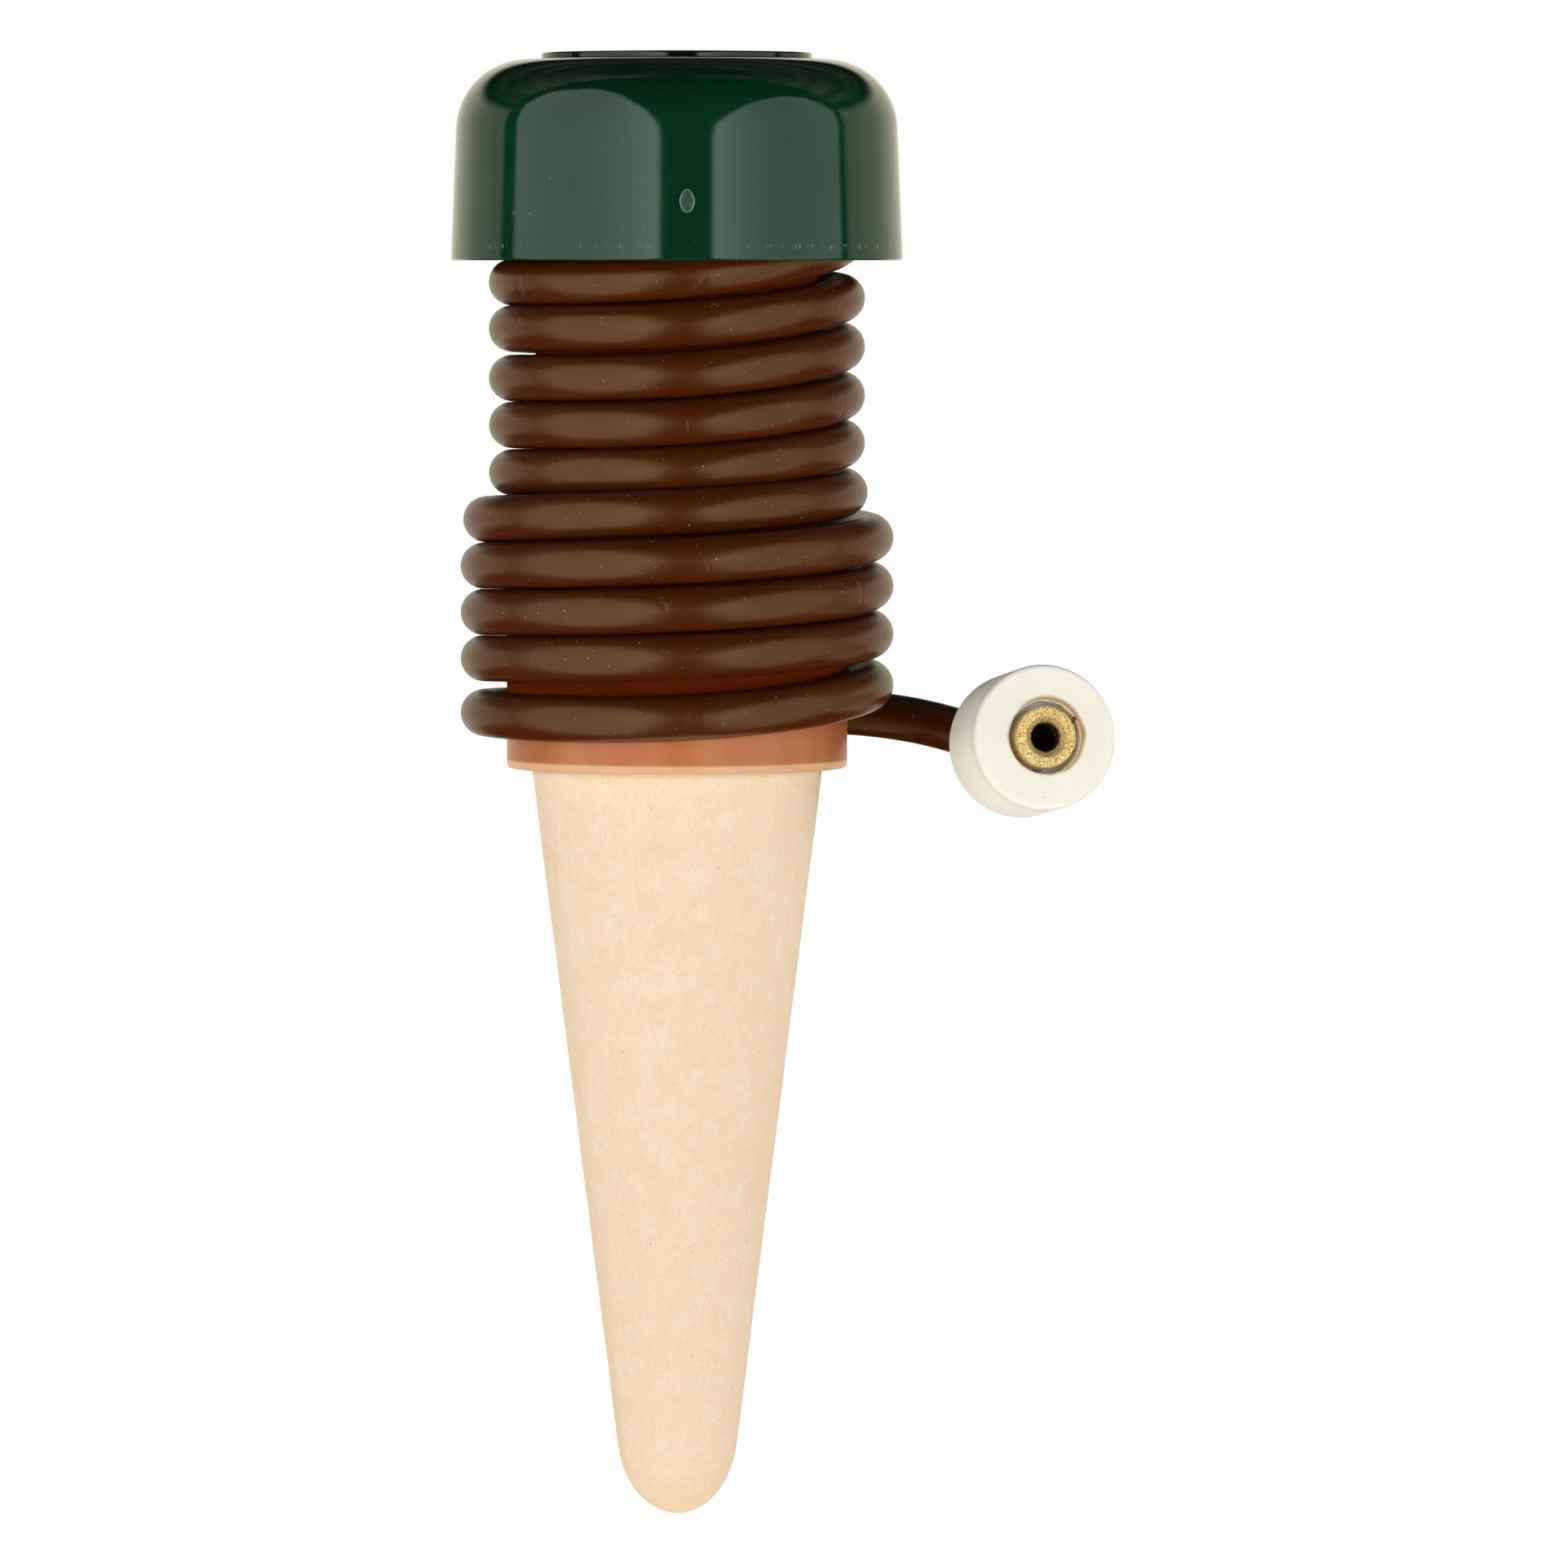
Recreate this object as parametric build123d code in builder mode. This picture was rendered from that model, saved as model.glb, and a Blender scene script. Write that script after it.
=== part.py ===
from build123d import *
from math import acos, ceil, cos, degrees, dist, hypot, pi, radians, sin, sqrt, tan
import os

# A watering spike for plant pots, in millimetres. A hollow clay cone is bonded into a plastic
# collar, and a screw cap closes it on a rubber washer. The thin supply tube is pushed on a nipple
# inside the cap, is wound round the collar, and ends in a brass nozzle inside a ceramic sinker.
# The origin is on the spike's axis at the collar's lower rim, the line that sits on the soil, with
# +Z up. The front is -Y, and the loose end of the tube points to +X.

# Clay cone. The nose radius is that of the side line at the level where the rounded tip starts.
CONE_RADIUS = 12.93
CONE_NOSE_RADIUS = 5.465
CONE_DEPTH = 66.55
CONE_TIP_HEIGHT = 7.4
CONE_WALL = 3.2
CAVITY_DEPTH = 61.0

# Collar. The cup takes its radius from the cone, and the neck from the cap's sleeve above it.
CUP_HEIGHT = 21.0
NECK_HEIGHT = 25.0
SPOUT_RADIUS = 10.6
SPOUT_HEIGHT = 5.5
SPOUT_WALL = 1.6
COLLAR_WALL = 1.5

# Adhesive ring between the cone and the cup
BOND_THICKNESS = 0.69
BOND_RECESS = 3.0

# Washer
WASHER_THICKNESS = 1.5
WASHER_SIDE_CLEARANCE = 0.25

# Cap. Its skirt goes over the winding's last turns, and takes its radius from them.
CAP_SIDE_CLEARANCE = 1.53
CAP_HEIGHT = 17.8
CAP_DRAFT = radians(2.27)
CAP_CORNER = 6.3
CAP_WALL = 1.6
CHAMBER_STEP = 0.5
CHAMBER_HEIGHT = 8.2
CHAMBER_WALL = 1.5
SHOULDER_THICKNESS = 1.2
SLEEVE_WALL = 1.45
SLEEVE_OVERHANG = 0.05
THREAD_ROOM = 0.55
SLEEVE_END_GAP = 0.3
PIP_WIDTH = 1.35
PIP_HEIGHT = 2.1
PIP_STAND_OUT = 0.45
PIP_ABOVE_RIM = 5.2
PIP_SIDE_OFFSET = 1.08

# Plate on the crown
PLATE_RADIUS = 12.0
PLATE_THICKNESS = 0.58
PLATE_BEVEL = 0.2

# Supply tube. The wound solid is drawn under its real size, so that turns that touch on the real
# tube keep a gap here.
TUBE_DIAMETER = 4.1
TUBE_UNDERSIZE = 0.4
TUBE_BORE = 2.6
TUBE_SIDES = 8

# Winding
CUP_TURN_SLACK = 0.33
NECK_TURN_SLACK = 0.46
WINDING_BASE = 4.4
TURN_PITCH = 4.2155
SIDE_LEAN = 0.35
FRONT_LEAN = 0.68
LAST_TURN_SAG = 1.2
NARROWING_RISE = 1.32
NARROWING_TURNS = 0.5
ENTRY_RISE = 0.5
HIDDEN_TURNS = 0.75
START_ANGLE = radians(90)
BIARC_TURNS = 0.5
TANGENT_STEP = 0.0001
GAP_SHARES = (0, 0.25, 0.5, 0.75)

# Nipple
NIPPLE_ABOVE_SHOULDER = 4.3
NIPPLE_RADIUS = 1.45
NIPPLE_NECK = 1.1
NIPPLE_BORE = 1.2
NIPPLE_FLANGE_RADIUS = 2.1
NIPPLE_FLANGE_THICKNESS = 0.8
NIPPLE_FLANGE_GAP = 0.3

# Barbed stems inside the tube's ends
BARB_CLEARANCE = 0.05
BARB_DEPTH = 0.25
BARB_LENGTH = 3.4
BARB_TEETH = 2

# Nozzle
NOZZLE_HEAD_RADIUS = 2.73
NOZZLE_HEAD_LENGTH = 2.8
NOZZLE_BORE = 2.5
NOZZLE_BORE_DEPTH = 2.0
NOZZLE_COUNTERSINK = 3.7
NOZZLE_COUNTERSINK_DEPTH = 0.5
NOZZLE_STEM_BORE = 1.3
NOZZLE_EDGE = 0.15

# Sinker
SINKER_RADIUS = 6.45
SINKER_LENGTH = 9.5
SINKER_HOLE_RADIUS = 2.3
SINKER_COUNTERBORE_RADIUS = 3.25
SINKER_COUNTERBORE_DEPTH = 2.5
SINKER_BEVEL = 0.4
NOZZLE_SEAT_GAP = 0.2

# The tube's free end, by hand. It runs off the rear of the lowest turn and bends to the front.
TAIL_FIRST_RUN = 4.5
TAIL_POINTS = [
    (14.9, 16.95, 4.35),
    (21.4, 14.6, 3.65),
    (26.5, 10.0, 2.4),
    (29.68, 3.9, 1.48),
    (32.0, -5.95, 2.74),
]
BEND_SHARE = 0.45

# One length by which cutting and joining bodies overrun a face
OVERRUN = 0.5

# Levels and radii that follow from the sizes above
CONE_TAPER = (CONE_RADIUS - CONE_NOSE_RADIUS) / (CONE_DEPTH - CONE_TIP_HEIGHT)
NECK_TOP = CUP_HEIGHT + NECK_HEIGHT
SPOUT_RIM = NECK_TOP + SPOUT_HEIGHT
CUP_BORE_RADIUS = CONE_RADIUS + BOND_THICKNESS
CUP_RADIUS = CUP_BORE_RADIUS + COLLAR_WALL
LEDGE_LEVEL = CUP_HEIGHT - COLLAR_WALL
SHOULDER_LEVEL = SPOUT_RIM + WASHER_THICKNESS
CEILING_LEVEL = SHOULDER_LEVEL + CHAMBER_HEIGHT
CROWN_LEVEL = CEILING_LEVEL + CAP_WALL
RIM_LEVEL = CROWN_LEVEL - CAP_HEIGHT
SLEEVE_BORE_RADIUS = SPOUT_RADIUS + THREAD_ROOM
NECK_RADIUS = SLEEVE_BORE_RADIUS + SLEEVE_WALL - SLEEVE_OVERHANG
CHAMBER_RADIUS = SPOUT_RADIUS - SPOUT_WALL - CHAMBER_STEP
CHAMBER_OUTER_RADIUS = CHAMBER_RADIUS + CHAMBER_WALL
TUBE_RADIUS = (TUBE_DIAMETER - TUBE_UNDERSIZE) / 2
CUP_TURN_RADIUS = CUP_RADIUS + CUP_TURN_SLACK + TUBE_RADIUS
NECK_TURN_RADIUS = NECK_RADIUS + NECK_TURN_SLACK + TUBE_RADIUS
CAP_RIM_RADIUS = NECK_TURN_RADIUS + TUBE_DIAMETER / 2 + CAP_SIDE_CLEARANCE + CAP_WALL
CROWN_EDGE_RADIUS = CAP_RIM_RADIUS - CAP_HEIGHT * tan(CAP_DRAFT)
NARROWING_START = (CUP_HEIGHT + NARROWING_RISE - WINDING_BASE) / TURN_PITCH
NARROWING_END = NARROWING_START + NARROWING_TURNS
HIDDEN_START = (RIM_LEVEL + ENTRY_RISE - WINDING_BASE) / TURN_PITCH
WINDING_TURNS = HIDDEN_START + HIDDEN_TURNS
NIPPLE_LEVEL = SHOULDER_LEVEL + NIPPLE_ABOVE_SHOULDER
HIDDEN_CLIMB = NIPPLE_LEVEL - (WINDING_BASE + TURN_PITCH * WINDING_TURNS)
BARB_RADIUS = TUBE_BORE / 2 - BARB_CLEARANCE

os.makedirs("parts", exist_ok=True)


def save(part, label):
    """Label a finished piece and write it under its own name."""
    part.label = label
    export_step(part, f"parts/{label}.step")


def revolve_outline(*points, mode=Mode.ADD):
    """Turn a half outline of (radius, height) points round the axis."""
    with BuildSketch(Plane.XZ) as profile:
        with BuildLine():
            Polyline(*points, close=True)
        make_face()
    revolve(profile.sketch, axis=Axis.Z, mode=mode)


def revolve_nosed(radius, depth, nose_height, top):
    """Turn a tapered body whose sides run on into an elliptical nose.

    The side line touches the ellipse whose half width a satisfies a^2 = c^2 - (taper * b)^2,
    where b is the nose height and c the side's radius at the level of its centre.
    """
    centre = nose_height - depth
    side = radius + CONE_TAPER * centre
    half_width = sqrt(side**2 - (CONE_TAPER * nose_height) ** 2)
    arc_size = 90 - degrees(acos(half_width / side))
    with BuildSketch(Plane.XZ) as profile:
        with BuildLine():
            nose = EllipticalCenterArc(
                (0, centre), half_width, nose_height, start_angle=-90, arc_size=arc_size
            )
            Polyline(nose @ 1, (radius, 0), (radius, top), (0, top), nose @ 0)
        make_face()
    revolve(profile.sketch, axis=Axis.Z)


def ease(value, low, high):
    """A smooth step from 0 at low to 1 at high."""
    share = min(max((value - low) / (high - low), 0), 1)
    return share * share * (3 - 2 * share)


def winding_centre(turns):
    """Centre of the wound tube, so many turns up from the rear of the lowest turn."""
    angle = START_ANGLE + 2 * pi * turns
    narrowed = ease(turns, NARROWING_START, NARROWING_END)
    radius = CUP_TURN_RADIUS + (NECK_TURN_RADIUS - CUP_TURN_RADIUS) * narrowed
    lean = turns / WINDING_TURNS
    height = (
        WINDING_BASE
        + TURN_PITCH * turns
        + lean * (SIDE_LEAN * cos(angle) + FRONT_LEAN * sin(angle))
        - LAST_TURN_SAG * sin(pi * min(max(turns, 0), 1)) ** 2
        + HIDDEN_CLIMB * ease(turns, HIDDEN_START, WINDING_TURNS)
    )
    return Vector(radius * cos(angle), radius * sin(angle), height)


def winding_way(turns):
    """Direction of the wound tube there, upwards."""
    return (winding_centre(turns + TANGENT_STEP) - winding_centre(turns - TANGENT_STEP)).normalized()


def biarc(start, start_way, end, end_way):
    """Two arcs from start to end that leave and arrive along the given directions."""
    gap = end - start
    ways = start_way + end_way
    square = ways.dot(ways) - 4
    linear = -2 * gap.dot(ways)
    reach = (-linear - sqrt(linear**2 - 4 * square * gap.dot(gap))) / (2 * square)
    first = start + start_way * reach
    second = end - end_way * reach
    joint = (first + second) * 0.5
    TangentArc(start, joint, tangent=start_way)
    TangentArc(joint, end, tangent=second - first)


def barb_outline():
    """Half outline of a barbed stem that stands on its root plane."""
    tooth = BARB_LENGTH / BARB_TEETH
    neck = BARB_RADIUS - BARB_DEPTH
    points = [(0, 0), (neck, 0)]
    for number in range(BARB_TEETH):
        points.append((neck, tooth * number + BARB_DEPTH))
        points.append((BARB_RADIUS, tooth * number + BARB_DEPTH))
        points.append((neck, tooth * (number + 1)))
    points.append((0, BARB_LENGTH))
    return points


def revolve_on(plane, *points, mode=Mode.ADD):
    """Turn a half outline of (radius, distance) points round the normal of a plane."""
    with BuildSketch(Plane(origin=plane.origin, x_dir=plane.x_dir, z_dir=-plane.y_dir)) as profile:
        with BuildLine():
            Polyline(*points, close=True)
        make_face()
    revolve(profile.sketch, axis=Axis(plane.origin, plane.z_dir), mode=mode)


def bend_radius(before, corner, after):
    """Radius of the arc that takes a set share of the shorter of the two runs at a corner."""
    turn = radians((corner - before).get_angle(after - corner))
    return BEND_SHARE * min((corner - before).length, (after - corner).length) / tan(turn / 2)


def draw_route(route):
    """Straight runs through the points of a route, joined by tangent arcs."""
    radii = [bend_radius(*route[number : number + 3]) for number in range(len(route) - 2)]
    FilletPolyline(*route, radius=radii)
    return radii


# Where the parts of the tube meet. The winding has a straight run of one diameter at each end.
biarc_count = ceil(WINDING_TURNS / BIARC_TURNS)
winding_knots = [WINDING_TURNS * number / biarc_count for number in range(biarc_count + 1)]
tail_start = winding_centre(0) - winding_way(0) * 2 * TUBE_RADIUS
tail_route = [tail_start, tail_start - winding_way(0) * TAIL_FIRST_RUN]
tail_route += [Vector(*point) for point in TAIL_POINTS]
tube_end_way = (tail_route[-1] - tail_route[-2]).normalized()
tube_end_plane = Plane(origin=tail_route[-1], z_dir=tube_end_way)
tube_stem_plane = Plane(origin=tail_route[-1], z_dir=-tube_end_way)
sinker_plane = tube_end_plane.offset(SINKER_COUNTERBORE_DEPTH - NOZZLE_SEAT_GAP)

nipple_way = winding_way(WINDING_TURNS)
nipple_end = winding_centre(WINDING_TURNS) + nipple_way * 2 * TUBE_RADIUS
nipple_stem_plane = Plane(origin=nipple_end, z_dir=-nipple_way)
elbow = nipple_end + nipple_way * (NIPPLE_RADIUS + NIPPLE_NECK)
elbow_reach = hypot(elbow.X, elbow.Y)
port_plane = Plane(origin=(0, 0, elbow.Z), x_dir=(0, 0, 1), z_dir=(elbow.X, elbow.Y, 0))


# Clay cone, with a plain spigot in the cup and a hollow open at the top
with BuildPart() as clay_cone:
    revolve_nosed(CONE_RADIUS, CONE_DEPTH, CONE_TIP_HEIGHT, LEDGE_LEVEL)
    revolve_outline(
        (0, -CAVITY_DEPTH),
        (CONE_RADIUS - CONE_WALL - CONE_TAPER * CAVITY_DEPTH, -CAVITY_DEPTH),
        (CONE_RADIUS - CONE_WALL, 0),
        (CONE_RADIUS - CONE_WALL, LEDGE_LEVEL + OVERRUN),
        (0, LEDGE_LEVEL + OVERRUN),
        mode=Mode.SUBTRACT,
    )
save(clay_cone.part, "clay_cone")

# Adhesive that fills the space between the spigot and the cup
with BuildPart() as bond_ring:
    with BuildSketch(Plane.XY.offset(BOND_RECESS)):
        Circle(CUP_BORE_RADIUS)
        Circle(CONE_RADIUS, mode=Mode.SUBTRACT)
    extrude(amount=LEDGE_LEVEL - BOND_RECESS)
save(bond_ring.part, "bond_ring")

# Collar: cup over the cone, neck under the winding, spout under the cap
with BuildPart() as collar:
    revolve_outline(
        (CUP_BORE_RADIUS, 0),
        (CUP_RADIUS, 0),
        (CUP_RADIUS, CUP_HEIGHT),
        (NECK_RADIUS, CUP_HEIGHT),
        (NECK_RADIUS, NECK_TOP),
        (SPOUT_RADIUS, NECK_TOP),
        (SPOUT_RADIUS, SPOUT_RIM),
        (SPOUT_RADIUS - SPOUT_WALL, SPOUT_RIM),
        (SPOUT_RADIUS - SPOUT_WALL, NECK_TOP - COLLAR_WALL),
        (NECK_RADIUS - COLLAR_WALL, NECK_TOP - COLLAR_WALL),
        (NECK_RADIUS - COLLAR_WALL, LEDGE_LEVEL),
        (CUP_BORE_RADIUS, LEDGE_LEVEL),
    )
save(collar.part, "collar")

# Washer on the spout's rim
with BuildPart() as seal_washer:
    with BuildSketch(Plane.XY.offset(SPOUT_RIM)):
        Circle(SLEEVE_BORE_RADIUS - WASHER_SIDE_CLEARANCE)
        Circle(CHAMBER_RADIUS + WASHER_SIDE_CLEARANCE, mode=Mode.SUBTRACT)
    extrude(amount=WASHER_THICKNESS)
save(seal_washer.part, "seal_washer")

# Cap: drafted skirt with a round corner, hollow, with the chamber and the screw sleeve inside
with BuildPart() as cap_hollow:
    revolve_outline(
        (0, RIM_LEVEL - OVERRUN),
        (CAP_RIM_RADIUS - CAP_WALL + OVERRUN * tan(CAP_DRAFT), RIM_LEVEL - OVERRUN),
        (CROWN_EDGE_RADIUS - CAP_WALL + CAP_WALL * tan(CAP_DRAFT), CEILING_LEVEL),
        (0, CEILING_LEVEL),
    )
    # This bevel touches the arc that would keep the wall's thickness round the corner
    chamfer(cap_hollow.faces().sort_by(Axis.Z)[-1].edges(), (CAP_CORNER - CAP_WALL) * (2 - sqrt(2)))
with BuildPart() as cap:
    revolve_outline(
        (0, RIM_LEVEL), (CAP_RIM_RADIUS, RIM_LEVEL), (CROWN_EDGE_RADIUS, CROWN_LEVEL), (0, CROWN_LEVEL)
    )
    fillet(cap.faces().sort_by(Axis.Z)[-1].edges(), CAP_CORNER)
    add(cap_hollow.part, mode=Mode.SUBTRACT)
    revolve_outline(
        (CHAMBER_RADIUS, CEILING_LEVEL + OVERRUN),
        (CHAMBER_OUTER_RADIUS, CEILING_LEVEL + OVERRUN),
        (CHAMBER_OUTER_RADIUS, SHOULDER_LEVEL + SHOULDER_THICKNESS),
        (SLEEVE_BORE_RADIUS + SLEEVE_WALL, SHOULDER_LEVEL + SHOULDER_THICKNESS),
        (SLEEVE_BORE_RADIUS + SLEEVE_WALL, NECK_TOP + SLEEVE_END_GAP),
        (SLEEVE_BORE_RADIUS, NECK_TOP + SLEEVE_END_GAP),
        (SLEEVE_BORE_RADIUS, SHOULDER_LEVEL),
        (CHAMBER_RADIUS, SHOULDER_LEVEL),
    )
    pip_level = RIM_LEVEL + PIP_ABOVE_RIM
    pip_wall = CAP_RIM_RADIUS - PIP_ABOVE_RIM * tan(CAP_DRAFT)
    with BuildSketch(Plane.XZ.offset(pip_wall + PIP_STAND_OUT)):
        with Locations((PIP_SIDE_OFFSET, pip_level)):
            Ellipse(PIP_WIDTH / 2, PIP_HEIGHT / 2)
    extrude(amount=-(PIP_STAND_OUT + CAP_WALL / 2))
    # The hole in the chamber's wall that the nipple is pressed into
    with BuildSketch(port_plane.offset(CHAMBER_RADIUS - OVERRUN)):
        Circle(NIPPLE_RADIUS)
    extrude(amount=CHAMBER_WALL + 2 * OVERRUN, mode=Mode.SUBTRACT)
save(cap.part, "cap")

# Plate on the crown
with BuildPart() as cap_disc:
    with BuildSketch(Plane.XY.offset(CROWN_LEVEL)):
        Circle(PLATE_RADIUS)
    extrude(amount=PLATE_THICKNESS)
    chamfer(cap_disc.faces().sort_by(Axis.Z)[-1].edges(), PLATE_BEVEL)
save(cap_disc.part, "cap_disc")

# Wound tube: a straight end at the tail, the turns on biarcs, a straight end at the nipple
with BuildPart() as tube_winding:
    with BuildLine() as winding_path:
        Line(tail_start, winding_centre(0))
        for low, high in zip(winding_knots, winding_knots[1:]):
            biarc(winding_centre(low), winding_way(low), winding_centre(high), winding_way(high))
        Line(winding_centre(WINDING_TURNS), nipple_end)
    with BuildSketch(Plane(origin=tail_start, x_dir=(0, 1, 0), z_dir=winding_way(0))):
        RegularPolygon(TUBE_RADIUS, TUBE_SIDES)
    sweep(path=winding_path.wires()[0])
    with BuildSketch(nipple_stem_plane):
        Circle(TUBE_BORE / 2)
    extrude(amount=BARB_LENGTH, mode=Mode.SUBTRACT)
save(tube_winding.part, "tube_winding")

# Nipple: a flanged stub in the chamber's wall, a ball elbow and a barbed stem in the tube's end
with BuildPart() as hose_nipple:
    stub_plane = port_plane.offset(CHAMBER_RADIUS)
    with BuildSketch(stub_plane):
        Circle(NIPPLE_RADIUS)
    extrude(amount=elbow_reach - CHAMBER_RADIUS)
    with BuildSketch(port_plane.offset(CHAMBER_OUTER_RADIUS + NIPPLE_FLANGE_GAP)):
        Circle(NIPPLE_FLANGE_RADIUS)
    extrude(amount=NIPPLE_FLANGE_THICKNESS)
    with Locations(elbow):
        Sphere(NIPPLE_RADIUS)
    with BuildSketch(nipple_stem_plane):
        Circle(NIPPLE_RADIUS)
    extrude(amount=-(NIPPLE_RADIUS + NIPPLE_NECK))
    revolve_on(nipple_stem_plane, *barb_outline())
    with BuildSketch(stub_plane.offset(-OVERRUN)):
        Circle(NIPPLE_BORE / 2)
    extrude(amount=elbow_reach - CHAMBER_RADIUS + OVERRUN, mode=Mode.SUBTRACT)
    with BuildSketch(nipple_stem_plane.offset(BARB_LENGTH + OVERRUN)):
        Circle(NIPPLE_BORE / 2)
    extrude(amount=-(BARB_LENGTH + OVERRUN + NIPPLE_NECK + NIPPLE_RADIUS), mode=Mode.SUBTRACT)
save(hose_nipple.part, "hose_nipple")

# Free end of the tube: straight runs joined by tangent arcs
with BuildPart() as tube_tail:
    with BuildLine() as tail_path:
        tail_radii = draw_route(tail_route)
    with BuildSketch(Plane(origin=tail_start, x_dir=(0, 1, 0), z_dir=-winding_way(0))):
        RegularPolygon(TUBE_RADIUS, TUBE_SIDES)
    sweep(path=tail_path.wires()[0])
    with BuildSketch(tube_end_plane):
        Circle(TUBE_BORE / 2)
    extrude(amount=-BARB_LENGTH, mode=Mode.SUBTRACT)
save(tube_tail.part, "tube_tail")

# Nozzle: a bored head outside the tube's end and a barbed stem in it
with BuildPart() as inlet_nozzle:
    with BuildSketch(tube_end_plane):
        Circle(NOZZLE_HEAD_RADIUS)
    extrude(amount=NOZZLE_HEAD_LENGTH)
    chamfer(inlet_nozzle.edges(), NOZZLE_EDGE)
    revolve_on(tube_stem_plane, *barb_outline())
    revolve_on(
        tube_end_plane.offset(NOZZLE_HEAD_LENGTH),
        (0, OVERRUN),
        (NOZZLE_COUNTERSINK / 2, OVERRUN),
        (NOZZLE_COUNTERSINK / 2, 0),
        (NOZZLE_BORE / 2, -NOZZLE_COUNTERSINK_DEPTH),
        (NOZZLE_BORE / 2, -NOZZLE_BORE_DEPTH),
        (NOZZLE_STEM_BORE / 2, -NOZZLE_BORE_DEPTH),
        (NOZZLE_STEM_BORE / 2, -NOZZLE_HEAD_LENGTH - BARB_LENGTH - OVERRUN),
        (0, -NOZZLE_HEAD_LENGTH - BARB_LENGTH - OVERRUN),
        mode=Mode.SUBTRACT,
    )
save(inlet_nozzle.part, "inlet_nozzle")

# Sinker: a ceramic ring round the tube's end, counterbored for the nozzle's head
with BuildPart() as sinker:
    with BuildSketch(sinker_plane):
        Circle(SINKER_RADIUS)
    extrude(amount=-SINKER_LENGTH)
    chamfer(sinker.edges(), SINKER_BEVEL)
    with BuildSketch(sinker_plane):
        Circle(SINKER_COUNTERBORE_RADIUS)
    extrude(amount=-SINKER_COUNTERBORE_DEPTH, mode=Mode.SUBTRACT)
    with BuildSketch(sinker_plane):
        Circle(SINKER_HOLE_RADIUS)
    extrude(amount=-SINKER_LENGTH, mode=Mode.SUBTRACT)
save(sinker.part, "sinker")

# Measures of the tube: bend radii, lengths, volumes against section times length, and the least
# gap between turns, from points along the winding's path
edges = winding_path.wires()[0].edges()
points = [tuple(edge @ share) for edge in edges for share in GAP_SHARES]
far_points = len(GAP_SHARES) * len(edges) // ceil(WINDING_TURNS) // 2
least = min(
    dist(point, other)
    for number, point in enumerate(points)
    for other in points[number + far_points :]
)
side_area = TUBE_SIDES / 2 * sin(2 * pi / TUBE_SIDES) * TUBE_RADIUS**2
winding_length = winding_path.wires()[0].length
tail_length = tail_path.wires()[0].length
bored = pi * (TUBE_BORE / 2) ** 2 * BARB_LENGTH
print("tail bend radii", [round(radius, 1) for radius in tail_radii])
print("tube length", round(winding_length, 1), "wound and", round(tail_length, 1), "free")
print("least gap between turns", round(least - 2 * TUBE_RADIUS, 3))
print("winding volume", round(tube_winding.part.volume), round(side_area * winding_length - bored))
print("tail volume", round(tube_tail.part.volume, 1), round(side_area * tail_length - bored, 1))
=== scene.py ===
"""Studio scene of the watering spike: its finishes, its fine shapes and the photograph's view.

Sizes are in millimetres until a mesh or curve is made, and in metres from there on. The spike stands
on the Z axis with its front at -Y.
"""

from __future__ import annotations

import logging
import math
from dataclasses import dataclass
from enum import Enum

import bmesh
import bpy
import numpy as np
from mathutils import Matrix, Vector

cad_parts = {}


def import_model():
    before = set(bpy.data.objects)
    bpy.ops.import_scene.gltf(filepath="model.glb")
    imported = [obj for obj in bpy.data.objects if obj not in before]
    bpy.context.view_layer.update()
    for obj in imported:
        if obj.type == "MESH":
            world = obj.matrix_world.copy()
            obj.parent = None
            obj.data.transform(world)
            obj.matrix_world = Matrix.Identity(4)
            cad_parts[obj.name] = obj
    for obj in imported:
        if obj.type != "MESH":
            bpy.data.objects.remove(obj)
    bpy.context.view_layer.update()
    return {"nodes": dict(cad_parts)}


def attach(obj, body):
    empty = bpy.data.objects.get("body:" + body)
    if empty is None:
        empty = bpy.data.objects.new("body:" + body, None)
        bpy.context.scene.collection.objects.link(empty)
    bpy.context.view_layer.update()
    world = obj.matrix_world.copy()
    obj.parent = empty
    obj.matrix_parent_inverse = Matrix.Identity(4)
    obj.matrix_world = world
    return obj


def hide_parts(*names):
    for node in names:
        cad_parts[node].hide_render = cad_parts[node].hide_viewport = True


LOG = logging.getLogger("watering_spike")
MM = 0.001
THREAD_PITCH = 3.0
RING = 192
FINE_RING = 256
Point = tuple[float, float, float]
Colour = tuple[float, float, float]
Surface = tuple[np.ndarray, list]
Piece = bpy.types.Object
Socket = bpy.types.NodeSocket


class Body(Enum):
    """The moving bodies that the scene's pieces ride on."""

    STAKE = "stake"
    HEAD = "head"
    WEIGHT = "weight"


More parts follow.
